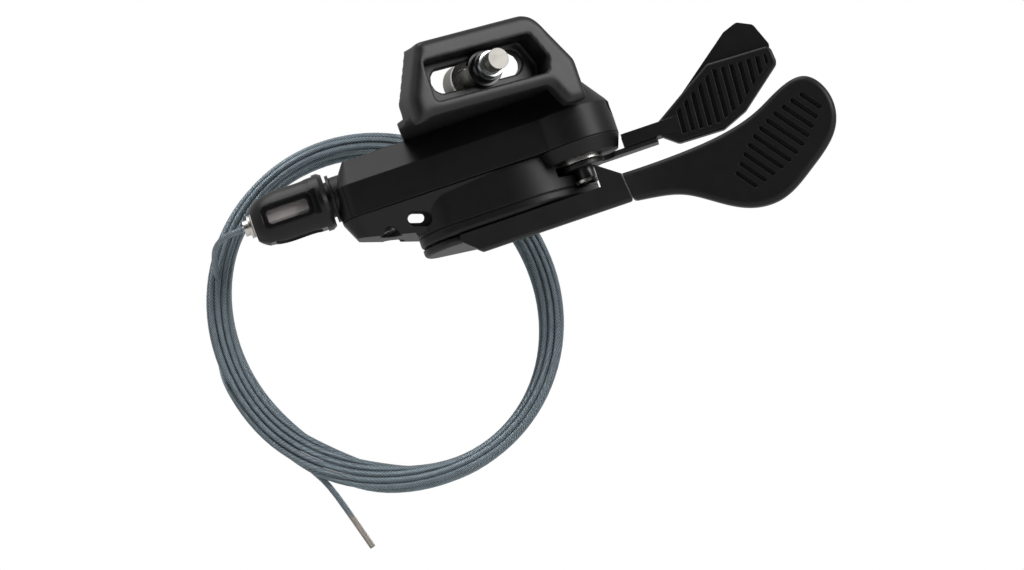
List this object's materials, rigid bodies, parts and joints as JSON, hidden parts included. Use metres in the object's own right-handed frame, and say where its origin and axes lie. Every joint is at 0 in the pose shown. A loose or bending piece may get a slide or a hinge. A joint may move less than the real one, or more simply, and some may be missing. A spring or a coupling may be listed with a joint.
{
  "type": "trigger gear shifter",
  "caption": "Trigger gear shifter for a flat handlebar, with two thumb levers, slotted clamp bracket, barrel adjuster and a coiled inner cable",
  "frame": {"origin": "middle of the bracket's slot, on the seat that lies against the brake clamp", "axes": "+Z along the lever pivots towards the handlebar side, +X from the cable adjuster to the thumb pads, +Y away from the rider"},
  "size_m": [0.1325, 0.0624, 0.087],
  "materials": {
    "case_plastic": "fine satin moulding",
    "knob_plastic": "satin moulding",
    "lever_plastic": "satin moulding with ribbed pads",
    "lever_metal": "satin black coating",
    "black_steel": "black coated steel",
    "plain_steel": "machined steel",
    "spring_steel": "drawn wire",
    "zinc_steel": "zinc plated",
    "inner_plastic": "acetal",
    "coated_cable": "blue-grey coated strand"
  },
  "bodies": {
    "housing": {"upper_case": "case_plastic", "lower_case": "case_plastic", "tower_cover": "case_plastic", "base_plate": "plain_steel", "main_axle": "plain_steel", "axle_nut": "black_steel", "axle_washer": "plain_steel", "release_post": "plain_steel", "post_washer": "black_steel", "post_clip": "plain_steel", "release_spring": "spring_steel", "stop_pin": "plain_steel", "stop_pawl_spring": "spring_steel", "main_return_spring": "spring_steel", "axle_spacer": "plain_steel", "drum_spring": "spring_steel", "adjuster_bush": "case_plastic", "click_washer": "knob_plastic", "port_plug": "case_plastic", "case_screws": "black_steel", "mount_bracket": "lever_metal", "bracket_screws": "black_steel", "cable_inner_run": "coated_cable", "cable_lead": "coated_cable", "cable_coil": "coated_cable", "cable_tail": "coated_cable"},
    "main_lever": {"main_lever_plate": "lever_metal", "main_lever_pad": "lever_plastic", "hub_bush": "inner_plastic", "feed_pin": "plain_steel", "feed_pawl_spring": "spring_steel"},
    "feed_pawl": {"feed_pawl": "plain_steel"},
    "stop_pawl": {"stop_pawl": "plain_steel"},
    "release_lever": {"release_plate": "black_steel", "release_lever_pad": "lever_plastic"},
    "drum": {"cable_drum": "inner_plastic", "ratchet_wheel": "plain_steel", "cable_head": "plain_steel"},
    "adjuster_knob": {"adjuster_knob": "knob_plastic"},
    "adjuster_barrel": {"adjuster_barrel": "plain_steel", "outlet_ferrule": "plain_steel"},
    "clamp_bolt": {"clamp_bolt": "plain_steel", "bolt_washer": "plain_steel", "bolt_nut": "black_steel", "bolt_ring": "zinc_steel"}
  },
  "joints": [
    {"name": "main_lever_push", "type": "hinge", "parent": "housing", "child": "main_lever", "pos_m": [0, 0.0232, -0.03], "axis": [0, 0, 1], "range_deg": [0, 45], "stiffness_Nm_per_rad": 0.6, "springref_deg": -28.65},
    {"name": "feed_pawl_swing", "type": "hinge", "parent": "main_lever", "child": "feed_pawl", "pos_m": [-0.01069, 0.02988, -0.0206], "axis": [0, 0, -1], "range_deg": [0, 12], "stiffness_Nm_per_rad": 0.01, "springref_deg": -17.19},
    {"name": "stop_pawl_swing", "type": "hinge", "parent": "housing", "child": "stop_pawl", "pos_m": [0.00592, 0.03433, -0.0206], "axis": [0, 0, -1], "range_deg": [0, 12], "stiffness_Nm_per_rad": 0.01, "springref_deg": -17.19},
    {"name": "release_lever_swing", "type": "hinge", "parent": "housing", "child": "release_lever", "pos_m": [0.0151, 0.0123, -0.0225], "axis": [0, 0, 1], "range_deg": [-12, 15], "stiffness_Nm_per_rad": 0.5},
    {"name": "drum_turn", "type": "hinge", "parent": "housing", "child": "drum", "pos_m": [0, 0.0232, -0.0128], "axis": [0, 0, 1], "range_deg": [0, 180], "stiffness_Nm_per_rad": 0.03, "springref_deg": -68.75},
    {"name": "adjuster_turn", "type": "hinge", "parent": "housing", "child": "adjuster_knob", "pos_m": [-0.042, 0.0112, -0.0128], "axis": [1, 0, 0], "range_deg": [-720, 720]},
    {"name": "barrel_slide", "type": "slide", "parent": "housing", "child": "adjuster_barrel", "axis": [-1, 0, 0], "range_m": [-0.0016, 0.0016]},
    {"name": "bolt_slide", "type": "slide", "parent": "housing", "child": "clamp_bolt", "axis": [0.9063, 0.4226, 0], "range_m": [-0.0089, 0.0063]}
  ],
  "couplings": [
    {"joint": "adjuster_turn", "follows": "barrel_slide", "rad_per_m": 7854}
  ]
}
